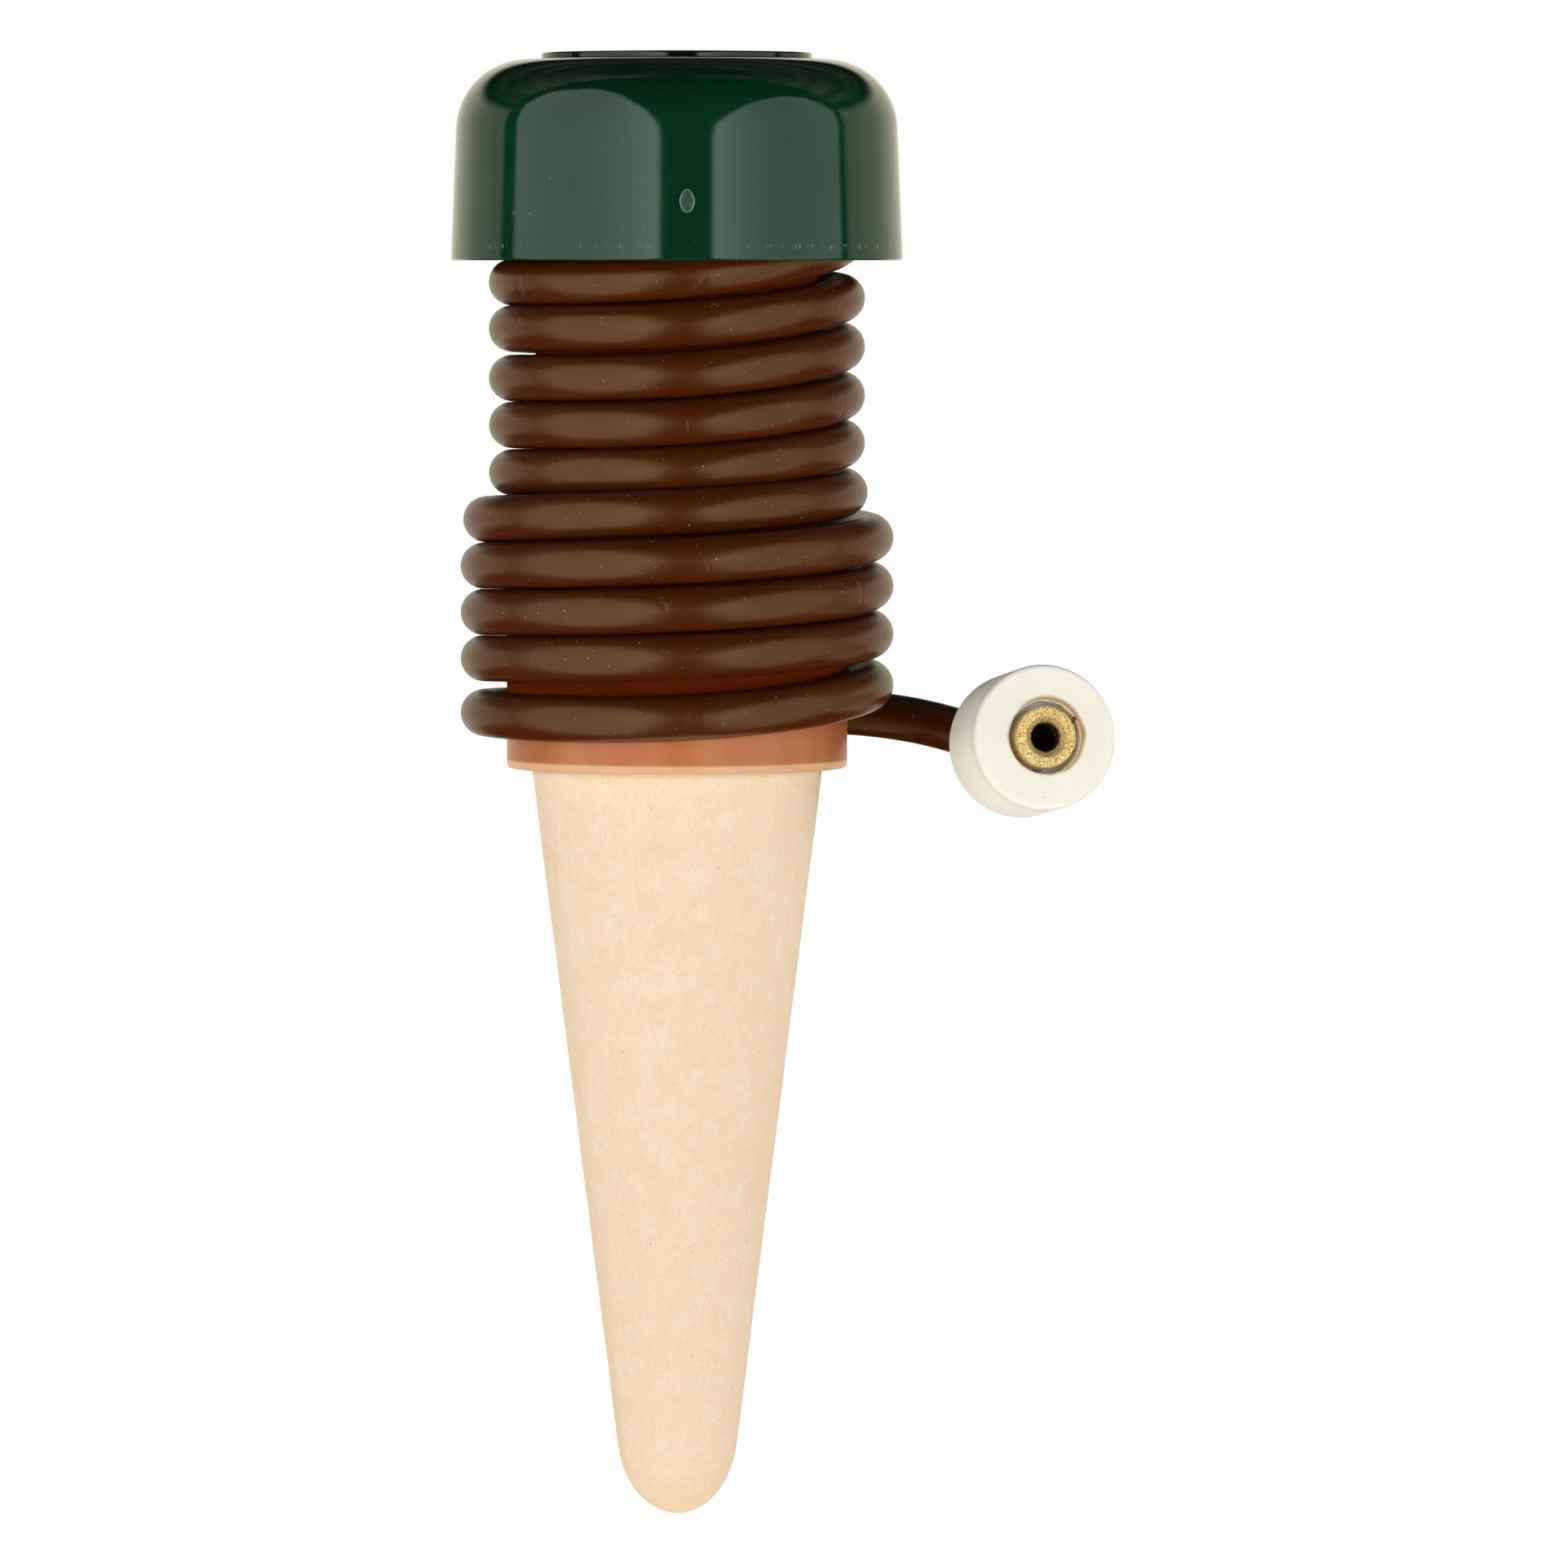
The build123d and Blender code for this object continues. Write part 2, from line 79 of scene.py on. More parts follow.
def rounded_outline(corners: np.ndarray, closed: bool, steps: int = 8) -> np.ndarray:
    """Round the corners of an outline.

    At a corner P with unit directions a and b to its neighbours and half the angle between them h,
    the arc of radius r touches both runs at r / tan(h) from P, and its centre is r / sin(h) from P
    along a + b. Points on it are the spherical mean of its two end radii. A point just before and
    one just after each arc keep the shading of the runs flat. Each corner is a row of radius, height
    and rounding, and an open outline keeps its end points.
    """
    points, rounding = corners[:, :2], corners[:, 2]
    back = np.roll(points, 1, axis=0) - points
    ahead = np.roll(points, -1, axis=0) - points
    back_way = back / np.linalg.norm(back, axis=1, keepdims=True)
    ahead_way = ahead / np.linalg.norm(ahead, axis=1, keepdims=True)
    inner = slice(None) if closed else slice(1, -1)
    points, rounding = points[inner], rounding[inner]
    back_way, ahead_way = back_way[inner], ahead_way[inner]
    half = np.arccos(np.clip((back_way * ahead_way).sum(1), -1, 1)) / 2
    reach = (rounding / np.tan(half))[:, None]
    middle = back_way + ahead_way
    middle /= np.linalg.norm(middle, axis=1, keepdims=True)
    centre = points + middle * (rounding / np.sin(half))[:, None]
    first, last = points + back_way * reach - centre, points + ahead_way * reach - centre
    sweep = (math.pi - 2 * half)[:, None, None]
    share = np.linspace(0, 1, steps + 1)[None, :, None]
    weights = np.sin((1 - share) * sweep), np.sin(share * sweep)
    arcs = (weights[0] * first[:, None] + weights[1] * last[:, None]) / np.sin(sweep)
    margin = 0.3 * rounding[:, None]
    before = centre + first + back_way * margin
    after = centre + last + ahead_way * margin
    rows = np.concatenate([before[:, None], arcs + centre[:, None], after[:, None]], axis=1)
    outline = rows.reshape(-1, 2)
    if closed:
        return np.vstack([outline, outline[:1]])
    return np.vstack([corners[:1, :2], outline, corners[-1:, :2]])


def with_rows(outline: np.ndarray, longest: float) -> np.ndarray:
    """Add rows to the long runs of an outline, evenly along it, with at most so much between."""
    spans = np.linalg.norm(np.diff(outline, axis=0), axis=1)
    stations = np.concatenate([[0], np.cumsum(spans)])
    extra = np.arange(longest, stations[-1], longest)
    clear = np.abs(extra[:, None] - stations[None]).min(1) > 0.2 * longest
    every = np.union1d(stations, extra[clear])
    return np.stack([np.interp(every, stations, outline[:, axis]) for axis in (0, 1)], axis=1)


def profile(corners: tuple, longest: float, closed: bool = False, steps: int = 8) -> np.ndarray:
    """Return an outline with its corners rounded and rows added to its long runs."""
    return with_rows(rounded_outline(np.array(corners), closed, steps), longest)


def ring_quads(index: np.ndarray) -> np.ndarray:
    """Return the faces between neighbouring rings of point numbers, four numbers each."""
    turned = np.roll(index, -1, axis=1)
    return np.stack([index[:-1], turned[:-1], turned[1:], index[1:]], axis=-1)


@dataclass(frozen=True)
class Axis:
    """A turning axis: its origin and direction, in millimetres."""

    origin: Point = (0.0, 0.0, 0.0)
    way: Point = (0.0, 0.0, 1.0)

    def basis(self) -> np.ndarray:
        """Return three unit rows: two across the axis and the axis itself."""
        way = np.array(self.way) / np.linalg.norm(self.way)
        up = np.array([0.0, 0.0, 1.0]) if abs(way[2]) < 0.9 else np.array([1.0, 0.0, 0.0])
        across = np.cross(up, way)
        across /= np.linalg.norm(across)
        return np.stack([across, np.cross(way, across), way])


def turned_surface(
    outline: np.ndarray, segments: int, axis: Axis = Axis(), relief: np.ndarray | None = None
) -> Surface:
    """Turn an outline round an axis into a closed surface.

    A point of the outline at radius r and height h becomes a ring of points
    origin + r * (cos(a) * across + sin(a) * over) + h * way. The outline is closed, or has both ends
    on the axis, where they become single points. The relief is added to the radius of each point.
    """
    angle = np.linspace(0, 2 * math.pi, segments, endpoint=False)
    radius = outline[:, :1] + (0 if relief is None else relief)
    ends_on_axis = outline[0, 0] == 0
    if not ends_on_axis:
        outline, radius = outline[:-1], radius[:-1]
    across, over, way = axis.basis()
    ring = np.cos(angle)[None, :, None] * across + np.sin(angle)[None, :, None] * over
    grid = np.array(axis.origin) + np.broadcast_to(radius, (len(outline), segments))[..., None] * ring
    grid = grid + outline[:, 1, None, None] * way
    rows = len(grid)
    index = np.arange(rows * segments).reshape(rows, segments)
    if ends_on_axis:
        index[0], index[-1] = 0, rows * segments - 1
        quads = ring_quads(index)
        faces = quads[1:-1].reshape(-1, 4).tolist()
        faces += quads[0][:, [0, 2, 3]].tolist() + quads[-1][:, [0, 1, 2]].tolist()
    else:
        faces = ring_quads(np.vstack([index, index[:1]])).reshape(-1, 4).tolist()
    return grid.reshape(-1, 3) * MM, faces


def ridge_surface(radius: float, depth: float, low: float, high: float) -> Surface:
    """Carry a thread's section along a helix from a low to a high level.

    The section is a trapezoid of six points. At share s of the helix it stands at angle 2 pi n s and
    height low + (high - low) * s, and it fades in and out over the first and last eighth. It stands
    on a wall of the given radius, and a negative depth points to the axis.
    """
    count = 180
    share = np.linspace(0, 1, count)
    fade = np.clip(np.minimum(share, 1 - share) * 8, 0.02, 1)
    angle = 2 * math.pi * (high - low) / THREAD_PITCH * share
    out = np.array([-0.12, 0.0, 0.9, 0.9, 0.0, -0.12]) * abs(depth)
    rise = np.array([-0.42, -0.42, -0.16, 0.16, 0.42, 0.42])
    reach = radius + np.sign(depth) * np.where(out > 0, out * fade[:, None], out)
    height = (low + (high - low) * share)[:, None] + rise * fade[:, None]
    grid = np.stack([reach * np.cos(angle)[:, None], reach * np.sin(angle)[:, None], height], axis=-1)
    index = np.arange(count * len(out)).reshape(count, len(out))
    ends = [index[0].tolist(), index[-1][::-1].tolist()]
    return grid.reshape(-1, 3) * MM, ring_quads(index).reshape(-1, 4).tolist() + ends


def linked(name: str, data: bpy.types.ID) -> Piece:
    """Return a new object in the scene, made of some data."""
    piece = bpy.data.objects.new(name, data)
    bpy.context.scene.collection.objects.link(piece)
    return piece


def hide(piece: Piece, *rays: str) -> None:
    """Hide an object from some kinds of ray."""
    for ray in rays:
        setattr(piece, f"visible_{ray}", False)


def make_piece(name: str, surface: Surface) -> Piece:
    """Make a smooth mesh object from points in metres and faces, which end up facing outwards."""
    mesh = bpy.data.meshes.new(name)
    mesh.from_pydata(surface[0].tolist(), [], surface[1])
    work = bmesh.new()
    work.from_mesh(mesh)
    loose = [vertex for vertex in work.verts if not vertex.link_faces]
    bmesh.ops.delete(work, geom=loose, context="VERTS")
    bmesh.ops.recalc_face_normals(work, faces=work.faces)
    work.to_mesh(mesh)
    work.free()
    mesh.polygons.foreach_set("use_smooth", np.ones(len(mesh.polygons), dtype=bool))
    return linked(name, mesh)


class Nodes:
    """A node tree, with short calls for the nodes that the finishes and the studio share."""

    def __init__(self, tree: bpy.types.NodeTree) -> None:
        """Start with an empty tree."""
        self.tree = tree
        self.tree.nodes.clear()

    def add(self, kind: str, **options: object) -> bpy.types.Node:
        """Add a node and set its options."""
        node = self.tree.nodes.new(kind)
        for option, value in options.items():
            setattr(node, option, value)
        return node

    def set(self, node: bpy.types.Node, socket: str | int, value: object) -> None:
        """Set a socket to a value, or link it where the value is another node's output."""
        if isinstance(value, Socket):
            self.tree.links.new(value, node.inputs[socket])
        else:
            node.inputs[socket].default_value = value

    def fill(self, node: bpy.types.Node, **inputs: object) -> None:
        """Set or link several sockets of a node."""
        for socket, value in inputs.items():
            self.set(node, socket, value)

    def math(self, operation: str, first: object, second: object = 0.0) -> Socket:
        """Return the result of a Math node."""
        node = self.add("ShaderNodeMath", operation=operation)
        self.set(node, 0, first)
        self.set(node, 1, second)
        return node.outputs[0]

    def product(self, *factors: object) -> Socket:
        """Return the product of several values."""
        result = factors[0]
        for factor in factors[1:]:
            result = self.math("MULTIPLY", result, factor)
        return result

    def step(
        self, value: object, low: float, high: float, bottom: object = 0.0, top: object = 1.0
    ) -> Socket:
        """Return a smooth step of a value: bottom at low, top at high."""
        node = self.add("ShaderNodeMapRange", interpolation_type="SMOOTHSTEP")
        for socket, entry in enumerate((value, low, high, bottom, top)):
            self.set(node, socket, entry)
        return node.outputs[0]

    def mix(self, share: object, first: object, second: object) -> Socket:
        """Return the mix of two colours."""
        node = self.add("ShaderNodeMix", data_type="RGBA")
        self.set(node, 0, share)
        for socket, colour in ((6, first), (7, second)):
            self.set(node, socket, (*colour, 1) if isinstance(colour, tuple) else colour)
        return node.outputs[2]

    def length(self, first: object, second: object) -> Socket:
        """Return the length of a flat vector."""
        squares = self.math("POWER", first, 2), self.math("POWER", second, 2)
        return self.math("SQRT", self.math("ADD", *squares))

    def parts(self, vector: object) -> tuple[Socket, ...]:
        """Return the three coordinates of a vector."""
        node = self.add("ShaderNodeSeparateXYZ")
        self.set(node, 0, vector)
        return tuple(node.outputs[axis] for axis in "XYZ")


class Finish(Nodes):
    """A material with one surface node and Object coordinates."""

    def __init__(self, name: str, colour: Colour, roughness: float) -> None:
        """Start the material with its main colour and roughness."""
        self.material = bpy.data.materials.new(name)
        self.material.use_nodes = True
        super().__init__(self.material.node_tree)
        self.surface = self.add("ShaderNodeBsdfPrincipled")
        self.base = colour
        self.put("Base Color", (*colour, 1))
        self.put("Roughness", roughness)
        output = self.add("ShaderNodeOutputMaterial")
        self.tree.links.new(self.surface.outputs["BSDF"], output.inputs["Surface"])
        self.place = self.add("ShaderNodeTexCoord").outputs["Object"]

    def put(self, socket: str, value: object) -> None:
        """Set or link a socket of the surface."""
        self.set(self.surface, socket, value)

    def over(self, share: object, colour: object) -> None:
        """Mix a colour over the base colour."""
        self.base = self.mix(share, self.base, colour)
        self.put("Base Color", self.base)

    def facing(self) -> Socket:
        """Return how far the surface turns away from the view, 0 where it faces it."""
        node = self.add("ShaderNodeLayerWeight")
        self.set(node, "Blend", 0.5)
        return node.outputs["Facing"]

    def mapped(self, kind: str = "POINT", **inputs: Point) -> Socket:
        """Return the Object coordinates after a Mapping node."""
        node = self.add("ShaderNodeMapping", vector_type=kind)
        self.fill(node, Vector=self.place, **inputs)
        return node.outputs["Vector"]

    def noise(self, size: float, detail: float = 3, rough: float = 0.5, place: object = None) -> Socket:
        """Return noise with features of about a size in millimetres."""
        node = self.add("ShaderNodeTexNoise")
        vector = place or self.place
        self.fill(node, Vector=vector, Scale=1 / (size * MM), Detail=detail, Roughness=rough)
        return node.outputs["Fac"]

    def specks(self, cell: float, size: float, share: float) -> Socket:
        """Return a mask, 1 in scattered specks.

        Args:
            cell: Distance between the places where a speck may be, in millimetres.
            size: Radius of a speck as a share of the cell.
            share: Share of the places that have one.
        """
        node = self.add("ShaderNodeTexVoronoi")
        self.fill(node, Vector=self.place, Scale=1 / (cell * MM))
        parts = self.add("ShaderNodeSeparateColor")
        self.set(parts, "Color", node.outputs["Color"])
        chosen = self.math("LESS_THAN", parts.outputs[0], share)
        return self.product(chosen, self.step(node.outputs["Distance"], size, size * 0.6))

    def height(self) -> Socket:
        """Return the height above the origin in millimetres."""
        return self.math("MULTIPLY", self.parts(self.place)[2], 1 / MM)

    def polar(self, axis: Axis) -> tuple[Socket, Socket]:
        """Return the place round an axis in millimetres: radius and distance along it."""
        basis = Matrix(axis.basis().T.tolist())
        origin = tuple(value * MM for value in axis.origin)
        local = self.mapped("TEXTURE", Location=origin, Rotation=tuple(basis.to_euler()))
        across, over, along = (self.math("MULTIPLY", part, 1 / MM) for part in self.parts(local))
        return self.length(across, over), along

    def scatter(self, weight: float, radius: Point, scale: float) -> None:
        """Let light in below the surface, as far as a scale in millimetres."""
        self.put("Subsurface Weight", weight)
        self.put("Subsurface Radius", radius)
        self.put("Subsurface Scale", scale * MM)

    def glow(self, strength: object) -> None:
        """Make the surface glow white."""
        self.put("Emission Color", (1, 1, 1, 1))
        self.put("Emission Strength", strength)

    def bump(self, height: object, depth: float, strength: float) -> None:
        """Raise the surface by a height pattern, to a depth in millimetres."""
        node = self.add("ShaderNodeBump")
        self.fill(node, Strength=strength, Distance=depth * MM, Height=height)
        self.put("Normal", node.outputs["Normal"])


class CapGloss(Finish):
    """Dark green gloss plastic with painted shading that darkens the crown, and scratches and worn
    ticks above the rim.
    """

    colour = (0.0017, 0.0218, 0.0076)
    deep = (0.0011, 0.0172, 0.0058)
    # The crown colour is painted shading: darker green where little light falls from above.
    crown = (0.0013, 0.013, 0.004)
    wear = (0.2, 0.27, 0.21)
    sheen = (0.77, 1.0, 0.86)
    roughness = 0.045
    wear_low = 45.95
    wear_high = 46.5
    crown_shading_heights = (57, 62)

    def __init__(self) -> None:
        """Paint the material."""
        super().__init__("cap_gloss", self.colour, self.roughness)
        self.put("Specular IOR Level", 0.57)
        self.put("Specular Tint", (*self.sheen, 1))
        self.base = self.deep
        self.over(self.step(self.noise(9, 2), 0.35, 0.7), self.colour)
        height = self.height()
        # Painted shading: darker with height towards the crown.
        self.over(self.step(height, *self.crown_shading_heights, 0, 0.8), self.crown)
        low = self.step(height, self.wear_low, self.wear_low + 0.15)
        high = self.step(height, self.wear_high - 0.2, self.wear_high, 1, 0)
        upright = self.mapped(Scale=(1, 1, 0.12))
        ticks = self.step(self.noise(0.22, 3, 0.6, upright), 0.57, 0.63)
        patchy = self.step(self.noise(6, 2), 0.46, 0.56)
        worn = self.product(low, high, ticks, patchy, 0.55)
        dust = self.math("MAXIMUM", self.specks(1.6, 0.055, 0.2), self.specks(0.9, 0.05, 0.06))
        marks = self.math("MAXIMUM", worn, self.product(dust, 0.9))
        self.over(marks, self.wear)
        fine = self.noise(0.16, 6, 0.75, self.mapped(Scale=(1, 1, 3.5)))
        scratches = self.step(fine, 0.55, 0.85, 0.0, 0.16)
        drawn = self.mapped(Scale=(1, 1, 0.35))
        smears = self.step(self.noise(5, 4, 0.7, drawn), 0.45, 0.75, 0.0, 0.06)
        rough = self.math("ADD", self.math("ADD", scratches, smears), self.roughness)
        self.put("Roughness", rough)
        self.bump(fine, 0.004, 0.35)


class PipPlastic(Finish):
    """The rough break-off mark on the cap's skirt, with a painted highlight round its edge."""

    colour = (0.022, 0.053, 0.032)
    # The edge colour is a painted highlight where the pip turns away from the view.
    edge = (0.22, 0.32, 0.22)
    roughness = 0.42

    def __init__(self) -> None:
        """Paint the material."""
        super().__init__("pip_plastic", self.colour, self.roughness)
        self.put("Specular IOR Level", 0.2)
        # Painted highlight: brighter where the surface turns away from the view.
        edge = self.step(self.facing(), 0.2, 0.45)
        mottle = self.step(self.noise(0.4, 3), 0.3, 0.7, 0.8, 1.0)
        self.over(self.product(edge, mottle), self.edge)
        self.bump(self.noise(0.25, 3), 0.02, 0.4)


class TubeSatin(Finish):
    """Brown satin tube with a dull bloom, dust specks and handling creases."""

    colour = (0.037, 0.0062, 0.0006)
    bloom = (0.042, 0.0082, 0.001)
    dust = (0.5, 0.42, 0.3)
    sheen = (1.0, 0.76, 0.37)
    roughness = 0.3

    def __init__(self) -> None:
        """Paint the material."""
        super().__init__("tube_satin", self.colour, self.roughness)
        self.put("Specular IOR Level", self.step(self.facing(), 0.35, 0.8, 0.63, 0.24))
        self.put("Specular Tint", (*self.sheen, 1))
        self.over(self.step(self.noise(6, 3), 0.35, 0.7), self.bloom)
        specks = self.math("MAXIMUM", self.specks(1.1, 0.07, 0.3), self.specks(0.6, 0.09, 0.3))
        self.over(self.product(specks, 0.8), self.dust)
        slanted = self.mapped(Scale=(1, 1, 0.4), Rotation=(0, math.radians(40), 0))
        creases = self.step(self.noise(2.6, 2, 0.5, slanted), 0.66, 0.74)
        grain = self.noise(0.14, 3, 0.65)
        rough = self.math("ADD", self.product(grain, 0.05), self.roughness - 0.025)
        self.put("Roughness", rough)
        relief = self.math("SUBTRACT", self.product(grain, 0.05), creases)
        self.bump(relief, 0.06, 0.5)


class CollarPlastic(Finish):
    """Slightly translucent terracotta plastic, with a painted highlight along its lower edge, painted
    shading at its sides, and a deep red painted shadow under the tube.
    """

    colour = (0.36, 0.1, 0.021)
    pale = (0.41, 0.137, 0.036)
    # The side colour is painted shading, darker where the collar turns away from the view.
    side = (0.24, 0.05, 0.012)
    # The edge colour is a painted highlight on the lower rim, lit from below.
    edge = (0.6, 0.35, 0.176)
    # The deep colour is painted shadow: dark red where the tube's turns shadow the collar.
    deep = (0.14, 0.018, 0.0018)
    roughness = 0.34
    rim_highlight_height = 0.85
    painted_shadow_height = 6.4
    painted_shadow_fade = 4.0
    rim_highlight_fade = 0.25

    def __init__(self) -> None:
        """Paint the material."""
        super().__init__("collar_plastic", self.colour, self.roughness)
        streaks = self.noise(7, 2, 0.5, self.mapped(Scale=(1, 1, 0.2)))
        self.over(self.step(streaks, 0.35, 0.7), self.pale)
        # Painted shading: darker towards the sides as seen.
        self.over(self.step(self.facing(), 0.15, 0.7, 0, 0.7), self.side)
        height = self.height()
        # Painted shadow between the tube's turns, with no reflection there.
        deep = self.step(height, self.painted_shadow_height - self.painted_shadow_fade, self.painted_shadow_height)
        self.over(deep, self.deep)
        self.put("Specular IOR Level", self.step(deep, 0, 1, 0.5, 0.0))
        # Painted highlight along the lower rim.
        edge = self.step(height, self.rim_highlight_height - self.rim_highlight_fade, self.rim_highlight_height, 0.9, 0)
        self.over(edge, self.edge)
        self.scatter(0.4, (1.0, 0.35, 0.15), 0.8)
        self.bump(self.noise(0.8, 4, 0.6), 0.03, 0.3)


class PorousClay(Finish):
    """Pale unglazed clay: fine warm and pale mottling, drawing lines, pores and a few dark grains."""

    colour = (0.9, 0.71, 0.5)
    warm = (0.89, 0.63, 0.4)
    pale = (0.91, 0.8, 0.63)
    grain = (0.42, 0.31, 0.2)
    roughness = 0.92

    def __init__(self) -> None:
        """Paint the material."""
        super().__init__("porous_clay", self.colour, self.roughness)
        self.put("Specular IOR Level", 0.05)
        self.over(self.step(self.noise(4, 6, 0.72), 0.4, 0.65, 0, 0.5), self.warm)
        self.over(self.step(self.noise(1.8, 8, 0.95), 0.44, 0.62, 0, 0.7), self.pale)
        fine = self.noise(0.32, 5, 0.75)
        self.over(self.step(fine, 0.48, 0.66, 0, 0.75), self.warm)
        lines = self.noise(0.35, 3, 0.6, self.mapped(Scale=(1, 1, 0.1)))
        self.over(self.step(lines, 0.55, 0.75, 0, 0.3), self.pale)
        self.over(self.specks(2.6, 0.1, 0.12), self.warm)
        grains = self.math("MAXIMUM", self.specks(1.2, 0.09, 0.2), self.specks(0.7, 0.09, 0.2))
        self.over(self.product(grains, 0.6), self.grain)
        pores = self.specks(0.55, 0.16, 0.25)
        relief = self.math("SUBTRACT", fine, self.product(pores, 0.8))
        self.bump(relief, 0.05, 0.5)


class SinkerCeramic(Finish):
    """Off-white fine ceramic with painted light on its sides and counterbore wall, a tan ring a little
    off centre that is partly staining and partly painted shadow, and rust stains at its hole.
    """

    colour = (0.73, 0.71, 0.615)
    # The warm colour is painted light on the sides and rear, a lit copy of the face colour; it also
    # tints the faint clouds.
    warm = (0.9, 0.87, 0.77)
    # A tan colour for the ring round the hole, partly staining and partly painted shadow, and for
    # scattered stained specks.
    stain_and_shadow = (0.38, 0.23, 0.08)
    # Painted light: the counterbore wall is painted near white where it lies in shadow.
    wall_painted_light = (1.0, 0.98, 0.92)
    rust = (0.2, 0.055, 0.012)
    ring_shadow_shift = (0.17, 0.0, 0.12)
    ring_edge = (3.25, 3.68)
    hole_edge = (3.26, 3.32)
    roughness = 0.5

    def __init__(self, axis: Axis, front: float) -> None:
        """Paint the material."""
        super().__init__("sinker_ceramic", self.colour, self.roughness)
        self.put("Specular IOR Level", 0.15)
        radius, along = self.polar(axis)
        # The ring is shifted off centre, as painted shadow on that side.
        aside = Axis(tuple(np.add(axis.origin, self.ring_shadow_shift).tolist()), axis.way)
        ring = self.polar(aside)[0]
        cloud = self.step(self.noise(3, 4), 0.35, 0.7)
        # Painted light: lighter towards the sides and rear than on the front face.
        self.over(self.step(along, front - 2.5, front - 0.2, 0.8, 0), self.warm)
        self.over(self.product(cloud, 0.1), self.warm)
        wobble = self.product(self.math("SUBTRACT", self.noise(2.2, 3), 0.5), 0.5)
        # The tan ring round the hole: partly staining, partly painted shadow where it is off centre.
        edge = self.step(self.math("ADD", ring, wobble), *self.ring_edge, 1, 0)
        self.over(edge, self.stain_and_shadow)
        wall = self.step(radius, *self.hole_edge, 1, 0)
        spots = self.step(self.noise(1.5, 4, 0.6), 0.58, 0.66)
        # Painted light on the counterbore wall, with rust spots.
        self.over(wall, self.mix(spots, self.wall_painted_light, self.rust))
        self.over(self.product(self.specks(1.9, 0.05, 0.12), 0.5), self.stain_and_shadow)
        self.scatter(0.3, (1.0, 0.9, 0.7), 1.2)
        self.bump(self.noise(0.35, 4, 0.6), 0.02, 0.3)


class GranularBrass(Finish):
    """Sintered brass: bright grains and dark pits between them, and painted shading, near black and
    dull, down the bore.
    """

    colour = (0.78, 0.56, 0.18)
    bright = (0.98, 0.84, 0.5)
    pit = (0.26, 0.15, 0.035)
    # Painted shading: the bore is painted near black where it lies in shadow.
    bore_painted_shade = (0.003, 0.002, 0.001)
    roughness = 0.42
    bore_shade_edge = (1.22, 1.5)
    cone_edge = (1.72, 1.9)

    def __init__(self, axis: Axis) -> None:
        """Paint the material."""
        super().__init__("granular_brass", self.colour, self.roughness)
        radius = self.polar(axis)[0]
        grains = self.noise(0.16, 3, 0.7)
        self.base = self.pit
        self.over(self.step(grains, 0.38, 0.5), self.colour)
        self.over(self.step(grains, 0.53, 0.66), self.bright)
        self.over(self.step(radius, *self.cone_edge, 0.45, 0), self.pit)
        soft = self.math("ADD", radius, self.product(self.math("SUBTRACT", grains, 0.5), 0.4))
        # Painted shading down the bore: near black, not metallic, rough and without reflection.
        deep = self.step(soft, *self.bore_shade_edge, 1, 0)
        self.over(deep, self.bore_painted_shade)
        self.put("Metallic", self.step(deep, 0, 1, 0.35, 0))
        self.put("Roughness", self.step(deep, 0, 1, self.roughness, 0.9))
        self.put("Specular IOR Level", self.step(deep, 0, 1, 0.5, 0.05))
        self.bump(grains, 0.09, 0.8)


class PlainFinish(Finish):
    """A plain moulded or cast finish with light mottling, for what lies inside."""

    mottle = 0.12

    def __init__(self, name: str, colour: Colour, roughness: float) -> None:
        """Paint the material."""
        super().__init__(name, colour, roughness)
        self.base = tuple(value * (1 - 2 * self.mottle) for value in colour)
        self.over(self.noise(1.5, 4, 0.6), colour)
        self.bump(self.noise(0.3, 3), 0.02, 0.4)


def coat(piece: Piece, finish: Finish) -> None:
    """Give a piece its finish. A CAD node that stays in view needs no more."""
    piece.data.materials.clear()
    piece.data.materials.append(finish.material)
    LOG.info("%s is coated", piece.name)


def dress(piece: Piece, finish: Finish, body: Body, slot: str, *nodes: str) -> Piece:
    """Give a piece its finish and its body, and hide the CAD nodes that it stands for."""
    coat(piece, finish)
    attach(piece, body.value)
    if nodes:
        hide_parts(*nodes)
    return piece


